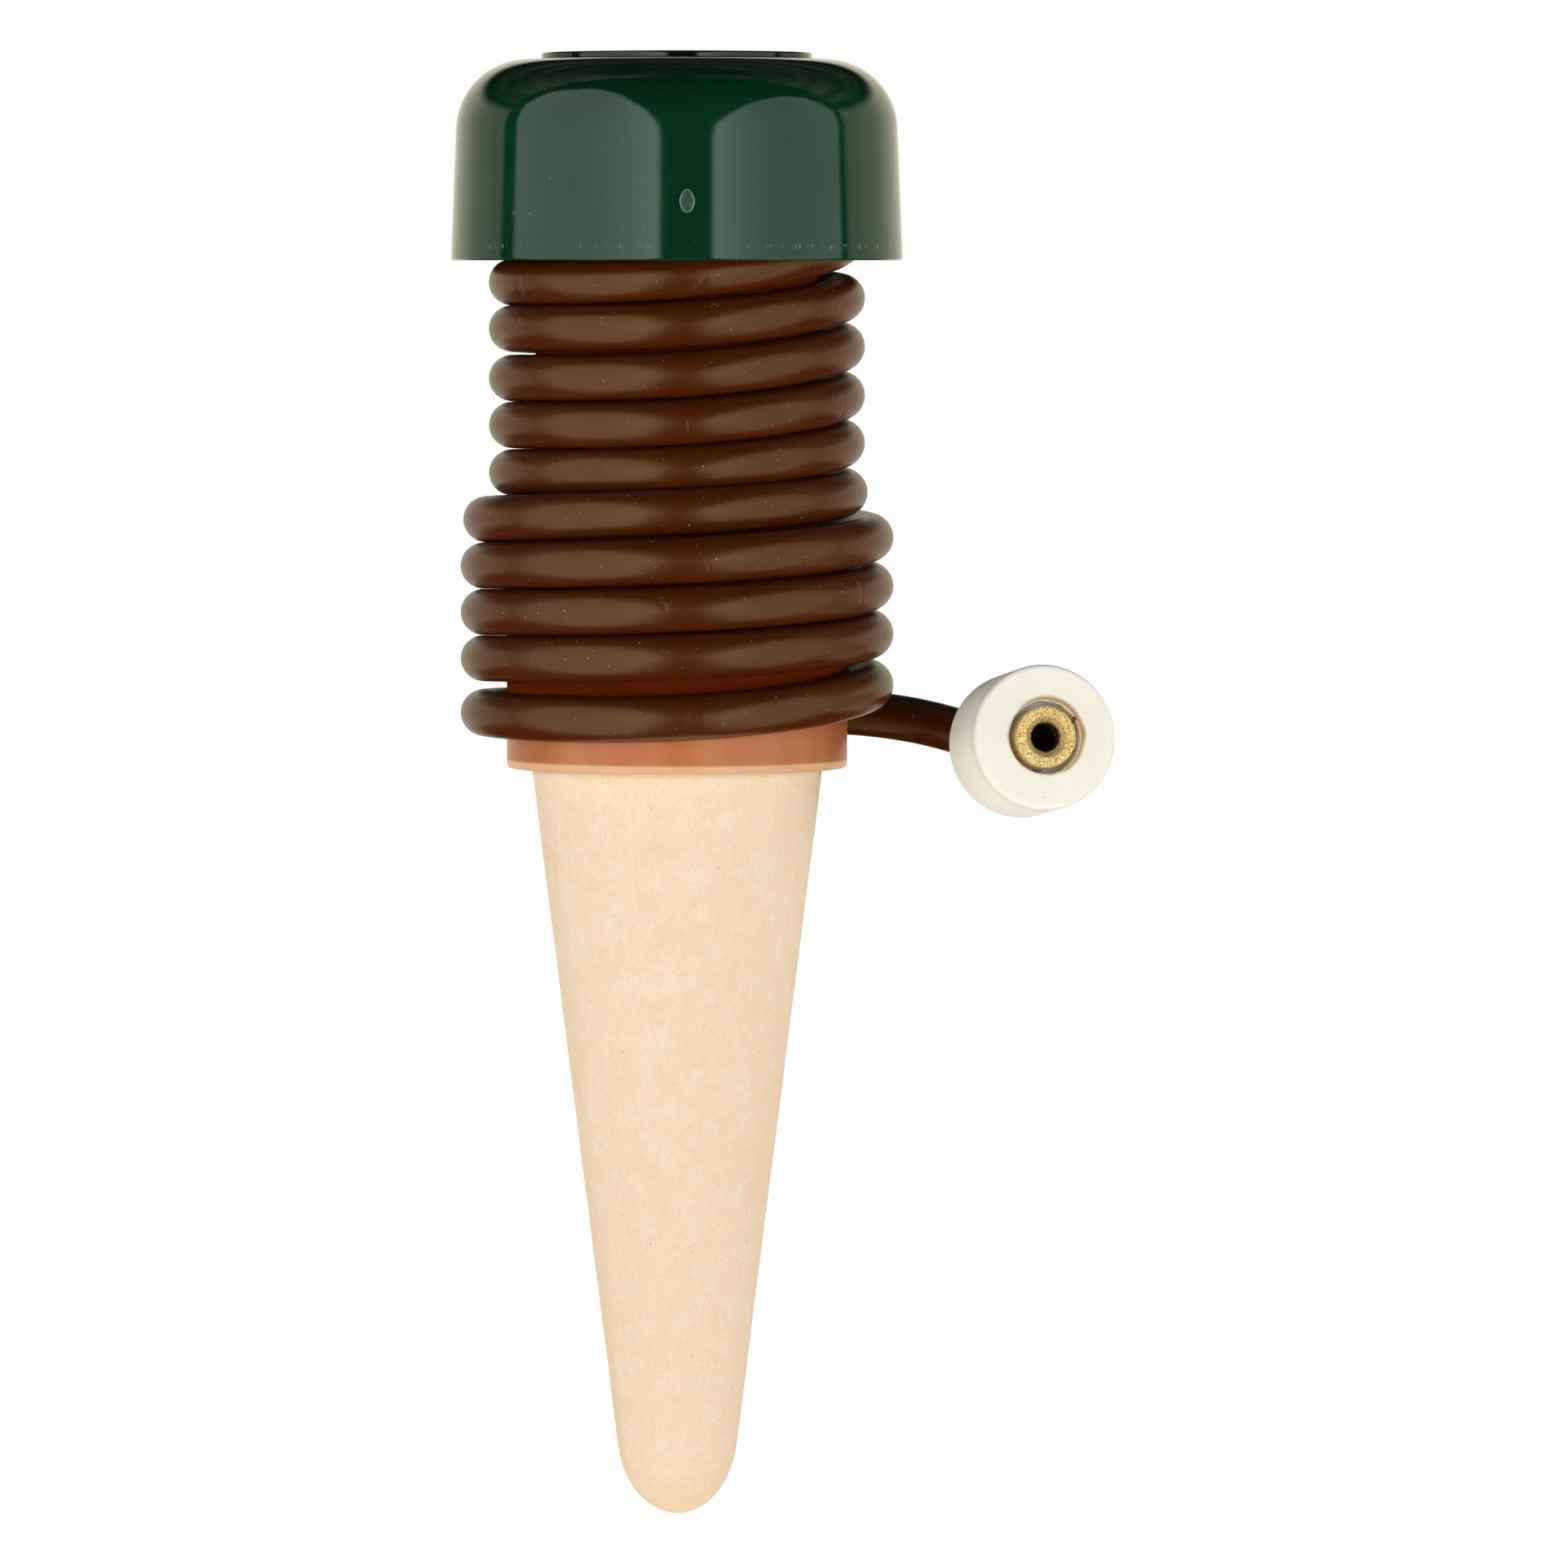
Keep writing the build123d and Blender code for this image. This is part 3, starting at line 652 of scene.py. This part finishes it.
class Stake:
    """The clay cone and the collar that holds it."""

    cone_radius = 12.93
    cone_taper = 0.1262
    cone_depth = 66.55
    tip_height = 7.4
    cone_wall = 3.2
    cavity_depth = 61.0
    ledge = 19.5
    cup_radius = 15.12
    cup_height = 21.0
    neck_radius = 12.55
    neck_top = 46.0
    spout_radius = 10.6
    spout_rim = 51.5
    spout_wall = 1.6
    collar_wall = 1.5
    unevenness = 0.007
    wave_count = 24
    thread_depth = 0.45
    thread_low = 47.0
    thread_high = 50.9
    cup_bore = cup_radius - collar_wall
    neck_bore = neck_radius - collar_wall
    spout_bore = spout_radius - spout_wall
    ceiling = neck_top - collar_wall
    collar_corners = (
        (cup_bore, 0, 0.2),
        (cup_radius, 0, 0.32),
        (cup_radius, cup_height, 0.4),
        (neck_radius, cup_height, 0.5),
        (neck_radius, neck_top, 0.4),
        (spout_radius, neck_top, 0.15),
        (spout_radius, spout_rim, 0.25),
        (spout_bore, spout_rim, 0.25),
        (spout_bore, ceiling, 0.3),
        (neck_bore, ceiling, 0.3),
        (neck_bore, ledge, 0.3),
        (cup_bore, ledge, 0.3),
    )

    def cone_outline(self) -> np.ndarray:
        """Return the cone's outline.

        The nose is an ellipse that the tapered side touches, as in the CAD source. The side then runs
        straight to the collar's rim, and the spigot above it is a cylinder.
        """
        centre = self.tip_height - self.cone_depth
        side = self.cone_radius + self.cone_taper * centre
        half_width = math.sqrt(side**2 - (self.cone_taper * self.tip_height) ** 2)
        touch = math.pi / 2 - math.acos(half_width / side)
        angle = np.linspace(0, touch, 40)
        nose = np.stack([half_width * np.sin(angle), centre - self.tip_height * np.cos(angle)], axis=1)
        bore = self.cone_radius - self.cone_wall
        foot = bore - self.cone_taper * self.cavity_depth
        corners = [
            (*nose[-1], 0),
            (self.cone_radius, 0, 0.8),
            (self.cone_radius, self.ledge, 0.4),
            (bore, self.ledge, 0.3),
            (bore, 0, 0.8),
            (foot, -self.cavity_depth, 1.2),
            (0, -self.cavity_depth, 0),
        ]
        side_up = rounded_outline(np.array(corners), closed=False)
        return with_rows(np.vstack([nose[:-1], side_up]), longest=0.7)

    def cone_relief(self, outline: np.ndarray, segments: int) -> np.ndarray:
        """Return the cast clay's slight unevenness.

        It is a sum of waves round and along the cone, sin(k a + m z + p), whose height falls with
        their number, and it fades out on the tip. It has one row per outline point.
        """
        rng = np.random.default_rng(7)
        angle = np.linspace(0, 2 * math.pi, segments, endpoint=False)[None, :, None]
        height = outline[:, 1][:, None, None]
        waves = rng.integers(1, 14, self.wave_count)
        along = rng.uniform(-0.9, 0.9, self.wave_count)
        phase = rng.uniform(0, 2 * math.pi, self.wave_count)
        sums = (np.sin(waves * angle + along * height + phase) / np.sqrt(waves)).sum(-1)
        return self.unevenness * sums * np.clip(outline[:, :1] / 4, 0, 1)

    def build(self, nodes: dict[str, Piece]) -> None:
        """Build the cone, the collar and its thread, and dress the hidden adhesive."""
        outline = self.cone_outline()
        cone = turned_surface(outline, FINE_RING, relief=self.cone_relief(outline, FINE_RING))
        dress(make_piece("clay_cone_cast", cone), PorousClay(), Body.STAKE, "clay", "clay_cone")
        plastic = CollarPlastic()
        collar = turned_surface(profile(self.collar_corners, longest=2.0, closed=True), RING)
        dress(make_piece("collar_moulding", collar), plastic, Body.STAKE, "collar_plastic", "collar")
        ridge = ridge_surface(self.spout_radius, self.thread_depth, self.thread_low, self.thread_high)
        dress(make_piece("spout_thread", ridge), plastic, Body.STAKE, "collar_plastic")
        coat(nodes["bond_ring"], PlainFinish("adhesive", (0.52, 0.45, 0.33), 0.6))


class Cap:
    """The screw cap with its plate, pip, washer and nipple."""

    rim_radius = 20.04
    rim = 45.0
    crown = 62.8
    draft = math.radians(2.27)
    corner = 6.3
    wall = 1.6
    chamber_radius = 8.5
    chamber_wall = 1.5
    shoulder = 53.0
    shoulder_thickness = 1.2
    sleeve_bore = 11.15
    sleeve_wall = 1.45
    sleeve_end = 46.3
    plate_radius = 12.0
    plate_thickness = 0.58
    plate_sink = 0.02
    plate_bevel = (0.3, 0.05)
    thread_depth = 0.4
    thread_low = 48.1
    thread_high = 51.6
    pip_size = (0.675, 1.05)
    pip_stand_out = 0.45
    pip_side = 1.08
    pip_level = 50.2
    ceiling = crown - wall
    crown_radius = rim_radius - (crown - rim) * math.tan(draft)
    chamber_outer = chamber_radius + chamber_wall
    sleeve_outer = sleeve_bore + sleeve_wall
    shoulder_top = shoulder + shoulder_thickness
    corners = (
        (0, crown, 0),
        (crown_radius, crown, corner),
        (rim_radius, rim, 0.22),
        (rim_radius - wall, rim, 0.22),
        (crown_radius - wall, ceiling, corner - wall),
        (chamber_outer, ceiling, 0.4),
        (chamber_outer, shoulder_top, 0.3),
        (sleeve_outer, shoulder_top, 0.4),
        (sleeve_outer, sleeve_end, 0.3),
        (sleeve_bore, sleeve_end, 0.3),
        (sleeve_bore, shoulder, 0.1),
        (chamber_radius, shoulder, 0.3),
        (chamber_radius, ceiling, 0.4),
        (0, ceiling, 0),
    )
    plate_top = crown + plate_thickness
    plate_foot = crown - plate_sink
    plate_corners = (
        (0, plate_top, 0),
        (plate_radius, plate_top, 0.2),
        (plate_radius, plate_foot + plate_bevel[1], 0.1),
        (plate_radius - plate_bevel[0], plate_foot, 0.02),
        (0, plate_foot, 0),
    )

    def pip_surface(self) -> Surface:
        """Return the domed pip that stands on the skirt, pointed at its top.

        At share s of its half sizes and angle a it lies at (side + s w cos(a) p, level + s h sin(a)),
        where p narrows its upper half by (1 - sin(a))^0.2, and it stands out of the drafted wall by
        the stand-out times (1 - s^2)^0.6.
        """
        share = np.sin(np.linspace(0, math.pi / 2, 16))[:, None]
        angle = np.linspace(0, 2 * math.pi, 64, endpoint=False)[None]
        pointed = np.power(1 - np.clip(np.sin(angle), 0, 1) + 1e-6, 0.2)
        across = self.pip_side + share * self.pip_size[0] * np.cos(angle) * pointed
        up = self.pip_level + share * self.pip_size[1] * np.sin(angle)
        wall = self.rim_radius - (up - self.rim) * math.tan(self.draft)
        lift = self.pip_stand_out * np.power(np.clip(1 - share**2, 0, 1), 0.6)
        out = -np.sqrt(wall**2 - across**2) - lift
        grid = np.stack([across, out, up], axis=-1)
        sunk = grid[-1:] + np.array([0, 0.4, 0])
        grid = np.concatenate([grid, sunk])
        rows, segments = grid.shape[:2]
        index = np.arange(rows * segments).reshape(rows, segments)
        index[0] = 0
        quads = ring_quads(index)[..., [0, 3, 2, 1]]
        faces = quads[1:].reshape(-1, 4).tolist() + quads[0][:, [0, 1, 2]].tolist()
        return grid.reshape(-1, 3) * MM, faces + [index[-1].tolist()]

    def build(self, nodes: dict[str, Piece]) -> None:
        """Build the cap, its plate, pip and thread, and dress the hidden washer and nipple."""
        gloss = CapGloss()
        shell = turned_surface(profile(self.corners, longest=1.0, steps=20), FINE_RING)
        dress(make_piece("cap_moulding", shell), gloss, Body.HEAD, "cap_plastic", "cap")
        plate = turned_surface(profile(self.plate_corners, longest=1.0), RING)
        dress(make_piece("crown_plate", plate), gloss, Body.HEAD, "plate_plastic", "cap_disc")
        dress(make_piece("cap_pip", self.pip_surface()), PipPlastic(), Body.HEAD, "cap_plastic")
        ridge = ridge_surface(self.sleeve_bore, -self.thread_depth, self.thread_low, self.thread_high)
        dress(make_piece("sleeve_thread", ridge), gloss, Body.HEAD, "cap_plastic")
        coat(nodes["seal_washer"], PlainFinish("washer_rubber", (0.03, 0.03, 0.03), 0.7))
        coat(nodes["hose_nipple"], PlainFinish("nipple_nylon", (0.75, 0.74, 0.68), 0.45))


class SupplyTube:
    """The thin tube: turns up the collar, and a free end with its nozzle and sinker.

    The levels of the turns are those of the photograph, from the lowest turn up. The levels at the
    rear, which it doesn't show, lie midway between their neighbours.
    """

    diameter = 4.1
    length = 1100.0
    cup_turn_radius = 17.18
    neck_turn_radius = 14.64
    turns = 10.5
    start_level = 4.4
    left_levels = (4.9, 9.7, 13.81, 17.92, 22.04, 26.2, 30.41, 34.57, 38.96, 43.07)
    front_levels = (5.06, 10.44, 14.58, 18.83, 23.04, 26.8, 30.85, 35.04, 39.42, 43.66)
    right_levels = (7.35, 11.88, 16.13, 20.45, 24.49, 28.81, 33.06, 37.38, 41.7, 47.0)
    hidden_levels = (50.6, 54.2, 56.6)
    narrowing = (4.1, 4.9)
    points_in_turn = 24
    straight = 3.7
    first_run = 4.5
    tail = (
        (14.9, 16.95, 4.35),
        (21.4, 14.6, 3.65),
        (26.5, 10.0, 2.4),
        (29.68, 3.9, 1.48),
        (32.0, -5.95, 2.74),
    )

    @staticmethod
    def ease(value: np.ndarray, low: float, high: float) -> np.ndarray:
        """Return a smooth step from 0 at low to 1 at high."""
        share = np.clip((value - low) / (high - low), 0, 1)
        return share * share * (3 - 2 * share)

    def level(self, turns: np.ndarray) -> np.ndarray:
        """Return the height of the tube's centre, so many turns up from its start at the rear.

        The levels at the quarter turns are joined by a cubic whose slope at each level is that
        between its two neighbours.
        """
        left, front, right = map(np.array, (self.left_levels, self.front_levels, self.right_levels))
        rear = np.concatenate([[self.start_level], (right[:-1] + left[1:]) / 2])
        knots = np.stack([rear, left, front, right], axis=1).ravel()
        knots = np.concatenate([knots, self.hidden_levels])
        slope = np.gradient(knots)
        place = np.clip(np.asarray(turns) * 4, 0, len(knots) - 1)
        low = np.minimum(place.astype(int), len(knots) - 2)
        part = place - low
        rise = knots[low + 1] - knots[low]
        cubic = knots[low] + part * part * (3 - 2 * part) * rise
        return cubic + part * (1 - part) * ((1 - part) * slope[low] - part * slope[low + 1])

    def centre(self, turns: np.ndarray) -> np.ndarray:
        """Return the centre of the wound tube, so many turns up from the rear of the lowest turn.

        The angle is 90 degrees plus the turns, and the radius eases from the cup's to the neck's.
        """
        angle = math.pi / 2 + 2 * math.pi * turns
        narrowed = self.ease(turns, *self.narrowing)
        radius = self.cup_turn_radius + (self.neck_turn_radius - self.cup_turn_radius) * narrowed
        return np.stack([radius * np.cos(angle), radius * np.sin(angle), self.level(turns)], axis=-1)

    def way(self, turns: float) -> np.ndarray:
        """Return the tube's upward direction there."""
        ends = self.centre(np.clip(np.array([turns - 1e-4, turns + 1e-4]), 0, self.turns))
        return (ends[1] - ends[0]) / np.linalg.norm(ends[1] - ends[0])

    def route(self) -> np.ndarray:
        """Return the control points, from the nipple down the winding to the free end.

        A quadratic spline runs inside its control points by (3 + cos(step)) / 4 of their radius, so
        the turns' points lie that much further out.
        """
        count = round(self.turns * self.points_in_turn)
        winding = self.centre(np.linspace(self.turns, 0, count + 1))
        step = 2 * math.pi / self.points_in_turn
        winding[1:-1, :2] /= (3 + math.cos(step)) / 4
        top = self.centre(np.array([self.turns]))[0] + self.way(self.turns) * self.straight
        foot = self.centre(np.array([0.0]))[0]
        down = -self.way(0.0)
        runs = [foot + down * self.straight, foot + down * (self.straight + self.first_run)]
        return np.vstack([top, winding, runs, self.tail])

    def end_axis(self) -> Axis:
        """Return the axis of the tube's end: its end face and the way it faces."""
        way = np.array(self.tail[-1]) - np.array(self.tail[-2])
        return Axis(self.tail[-1], tuple(way / np.linalg.norm(way)))

    def tube_piece(self) -> Piece:
        """Return the tube as a bevelled curve of one open spline."""
        points = self.route() * MM
        data = bpy.data.curves.new("supply_tube", "CURVE")
        data.dimensions = "3D"
        spline = data.splines.new("NURBS")
        spline.points.add(len(points) - 1)
        spline.points.foreach_set("co", np.c_[points, np.ones(len(points))].ravel())
        spline.order_u = 3
        spline.use_endpoint_u = True
        spline.resolution_u = 5
        data.bevel_depth = self.diameter / 2 * MM
        data.bevel_resolution = 12
        data.use_fill_caps = True
        return linked("supply_tube", data)

    def build(self, nozzle: Piece, sinker: Piece) -> None:
        tube = self.tube_piece()
        dress(tube, TubeSatin(), Body.HEAD, "tube_plastic", "tube_winding", "tube_tail")
        tuple(self.route()[0] * MM)


@dataclass
class TubeEnd:
    """The brass nozzle and the ceramic sinker on the tube's free end."""

    axis: Axis
    head_radius = 2.73
    head_length = 2.8
    bore = 1.25
    bore_depth = 2.0
    countersink = 1.85
    countersink_depth = 0.55
    stem_bore = 0.65
    stem_floor = 0.05
    stem_radius = 1.25
    stem_length = 3.4
    sinker_radius = 6.45
    sinker_length = 9.5
    sinker_front = 2.3
    hole = 2.3
    counterbore = 3.25
    counterbore_depth = 2.5
    nozzle_segments = 96
    sinker_segments = 160
    nozzle_corners = (
        (0, stem_floor, 0),
        (stem_bore, stem_floor, 0.1),
        (stem_bore, head_length - bore_depth, 0.1),
        (bore, head_length - bore_depth, 0.15),
        (bore, head_length - countersink_depth, 0.3),
        (countersink, head_length, 0.18),
        (head_radius, head_length, 0.28),
        (head_radius, 0, 0.12),
        (stem_radius, 0, 0.1),
        (stem_radius, -stem_length, 0.1),
        (0, -stem_length, 0),
    )
    rear = sinker_front - sinker_length
    seat = sinker_front - counterbore_depth
    sinker_corners = (
        (hole, rear, 0.3),
        (sinker_radius, rear, 0.5),
        (sinker_radius, sinker_front, 0.45),
        (counterbore, sinker_front, 0.14),
        (counterbore, seat, 0.2),
        (hole, seat, 0.1),
    )

    def nozzle(self) -> Piece:
        """Return the dressed nozzle: a countersunk head and the stem in the tube's end."""
        outline = profile(self.nozzle_corners, longest=0.3)
        surface = turned_surface(outline, self.nozzle_segments, self.axis)
        piece = make_piece("nozzle_brass", surface)
        return dress(piece, GranularBrass(self.axis), Body.HEAD, "nozzle_brass", "inlet_nozzle")

    def sinker(self) -> Piece:
        """Return the dressed sinker: a ring with rounded edges, counterbored at the front."""
        outline = profile(self.sinker_corners, longest=0.5, closed=True)
        piece = make_piece("sinker_ring", turned_surface(outline, self.sinker_segments, self.axis))
        finish = SinkerCeramic(self.axis, self.sinker_front)
        return dress(piece, finish, Body.WEIGHT, "sinker_ceramic", "sinker")


@dataclass(frozen=True)
class Lamp:
    """An upright lamp for the matt light. Gloss doesn't show it."""

    name: str
    place: Point
    azimuth: float
    size: tuple[float, float]
    strength: float

    def build(self) -> None:
        """Make the lamp, turned from facing the object squarely by its azimuth in degrees."""
        data = bpy.data.lights.new(self.name, "AREA")
        data.shape = "RECTANGLE"
        data.size, data.size_y = self.size[0] * MM, self.size[1] * MM
        data.energy = math.pi * data.size * data.size_y * self.strength
        lamp = linked(self.name, data)
        lamp.location = Vector(self.place) * MM
        lamp.rotation_euler = (math.radians(90), 0, math.radians(self.azimuth))
        hide(lamp, "camera", "glossy")


@dataclass(frozen=True)
class SoftboxFront:
    """The bright front of a softbox, as gloss shows it.

    It stands upright at a distance from the axis, and its normal lies at an angle from the camera's
    direction, on the side -1 or 1. Its outline is in reach towards the camera and height, with a
    rounding at each corner. It is brightest at its inner end: the level rises by the glow times a
    power of the nearness of the camera's direction.
    """

    name: str
    side: int
    distance: float
    outline: tuple[Point, ...]
    level: float
    glow: float
    azimuth = 77.4
    falloff = 8.0

    def finish(self) -> Finish:
        """Return the front's glowing finish."""
        finish = Finish(self.name, (0, 0, 0), 1.0)
        x, y, _ = finish.parts(finish.place)
        near = finish.math("DIVIDE", finish.math("MULTIPLY", y, -1), finish.length(x, y))
        near = finish.math("POWER", finish.math("MAXIMUM", near, 0), self.falloff)
        finish.glow(finish.math("ADD", finish.math("MULTIPLY", near, self.glow), self.level))
        return finish

    def build(self) -> None:
        """Make the front, visible to gloss alone."""
        outline = rounded_outline(np.array(self.outline), closed=True)[:-1]
        angle = math.radians(self.azimuth)
        normal = np.array([self.side * math.sin(angle), -math.cos(angle), 0])
        ahead = np.array([-self.side * math.cos(angle), -math.sin(angle), 0])
        points = normal * self.distance + outline[:, :1] * ahead + outline[:, 1:] * np.array([0, 0, 1])
        front = make_piece(self.name, (points * MM, [list(range(len(points)))]))
        coat(front, self.finish())
        hide(front, "camera", "diffuse", "transmission", "shadow")


class Studio:
    """The pale floor, the light and the camera at the photograph's viewpoint."""

    floor_level = -66.6
    floor_half = 6000.0
    floor_glow = 0.92
    camera_place = (9.5, -994.0, 45.0)
    camera_aim = (9.5, 0.0, -1.5)
    lens = 257.0
    lamps = (
        Lamp("lamp_left", (-596, -1005, -650), -77.4, (2176, 1800), 3.6),
        Lamp("lamp_right", (785, -880, -650), 77.4, (1912, 1800), 4.1),
        Lamp("lamp_front", (0, -1500, -700), 0, (1400, 1000), 2.45),
    )
    fronts = (
        SoftboxFront(
            "front_left",
            side=-1,
            distance=795,
            outline=(
                (2130, -300, 60), (2130, 200, 100), (1390, 975, 400), (520, 1385, 500),
                (120, 1310, 300), (-185, 900, 200), (-225, 500, 200), (-180, 50, 200),
                (-180, -2600, 60), (900, -2600, 60),
            ),
            level=1.25,
            glow=1.3,
        ),
        SoftboxFront(
            "front_right",
            side=1,
            distance=963,
            outline=(
                (1620, -300, 60), (1620, 150, 60), (990, 715, 300), (700, 900, 300),
                (384, 985, 300), (60, 975, 200), (-130, 815, 150), (-278, 430, 150),
                (-262, 0, 100), (-262, -2200, 60), (700, -2200, 60),
            ),
            level=1.05,
            glow=2.5,
        ),
    )
    backdrop = (0.68, 1.0)
    backdrop_angles = (101.0, 98.5)
    backdrop_top = 0.35
    wall = (0.38, 0.05)
    warmth = (1.0, 0.94, 0.74)
    room = (0.12, 0.9)

    def floor(self) -> None:
        """Make the floor, white to the camera, with a faint shadow. It hides no lamp."""
        corners = np.array([(-1, -1), (1, -1), (1, 1), (-1, 1)]) * self.floor_half
        points = np.c_[corners, np.full(4, self.floor_level)] * MM
        sheet = make_piece("studio_floor", (points, [[0, 1, 2, 3]]))
        white = Finish("floor_white", (0.8, 0.8, 0.8), 0.9)
        white.put("Specular IOR Level", 0.0)
        path = white.add("ShaderNodeLightPath").outputs
        seen = white.math("MAXIMUM", path["Is Camera Ray"], path["Is Transmission Ray"])
        seen = white.math("MAXIMUM", seen, path["Is Glossy Ray"])
        white.glow(white.math("MULTIPLY", seen, self.floor_glow))
        coat(sheet, white)
        hide(sheet, "glossy", "shadow")

    def world(self) -> None:
        """Make the surroundings: white to the camera, and a dim room with a backdrop to the rest.

        Gloss sees a pale backdrop behind the object, brightest straight behind, and a dim, streaky
        wall above it, both a little warm. Matt surfaces see a room that is light behind the object
        and dark in front and above.
        """
        world = bpy.data.worlds.new("studio")
        bpy.context.scene.world = world
        world.use_nodes = True
        nodes = Nodes(world.node_tree)
        x, y, z = nodes.parts(nodes.add("ShaderNodeTexCoord").outputs["Generated"])
        path = nodes.add("ShaderNodeLightPath").outputs
        flat = nodes.math("SQRT", nodes.math("SUBTRACT", 1, nodes.math("POWER", z, 2)))
        back = nodes.math("DIVIDE", y, nodes.math("MAXIMUM", flat, 1e-4))
        starts = [-math.cos(math.radians(angle)) for angle in self.backdrop_angles]
        start = nodes.step(x, -0.01, 0.01, *starts)
        behind = nodes.step(nodes.math("SUBTRACT", back, start), -0.02, 0.03)
        height = nodes.math("ABSOLUTE", z)
        low = nodes.step(height, self.backdrop_top - 0.06, self.backdrop_top + 0.05, 1, 0)
        stretched = nodes.add("ShaderNodeCombineXYZ")
        for axis, (value, times) in enumerate(((x, 1.5), (y, 1.5), (z, 16.0))):
            nodes.set(stretched, axis, nodes.math("MULTIPLY", value, times))
        clutter = nodes.add("ShaderNodeTexNoise")
        nodes.fill(clutter, Vector=stretched.outputs[0], Scale=1.0)
        streaks = nodes.step(clutter.outputs["Fac"], 0.35, 0.65, 0.25, 1.6)
        wall = nodes.step(back, 0.15, 0.75, *self.wall)
        wall = nodes.product(nodes.step(z, 0.42, 0.52), wall, streaks)
        sheet = nodes.math("ADD", low, wall)
        gloss = nodes.product(behind, sheet, nodes.step(back, 0.5, 0.9, *self.backdrop))
        matt = nodes.product(nodes.step(back, -0.2, 0.5, *self.room), nodes.step(z, 0.1, 0.7, 1, 0.3))
        around = nodes.step(path["Is Glossy Ray"], 0, 1, matt, gloss)
        seen = nodes.math("MAXIMUM", path["Is Camera Ray"], path["Is Transmission Ray"])
        background = nodes.add("ShaderNodeBackground")
        tint = nodes.mix(path["Is Glossy Ray"], (1.0, 1.0, 1.0), self.warmth)
        nodes.fill(background, Color=tint, Strength=nodes.step(seen, 0, 1, around, 1.0))
        surface = nodes.add("ShaderNodeOutputWorld").inputs["Surface"]
        nodes.tree.links.new(background.outputs[0], surface)

    def camera(self) -> None:
        """Make the camera: a long lens at the photograph's distance and eye level."""
        data = bpy.data.cameras.new("camera")
        data.sensor_width = 36.0
        data.lens = self.lens
        data.clip_start, data.clip_end = 0.01, 50.0
        camera = linked("camera", data)
        camera.location = Vector(self.camera_place) * MM
        way = Vector(self.camera_aim) - Vector(self.camera_place)
        camera.rotation_euler = way.to_track_quat("-Z", "Y").to_euler()
        bpy.context.scene.camera = camera

    def build(self) -> None:
        """Build the whole studio."""
        self.camera()
        self.world()
        self.floor()
        for piece in (*self.lamps, *self.fronts):
            piece.build()
        bpy.context.scene.view_settings.view_transform = "Standard"
        LOG.info("studio built")


def main() -> None:
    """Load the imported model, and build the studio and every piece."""
    logging.basicConfig(level=logging.INFO)
    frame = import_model()
    nodes = frame["nodes"]
    Studio().build()
    Stake().build(nodes)
    Cap().build(nodes)
    tube = SupplyTube()
    end = TubeEnd(tube.end_axis())
    tube.build(end.nozzle(), end.sinker())


if __name__ == "__main__":
    main()
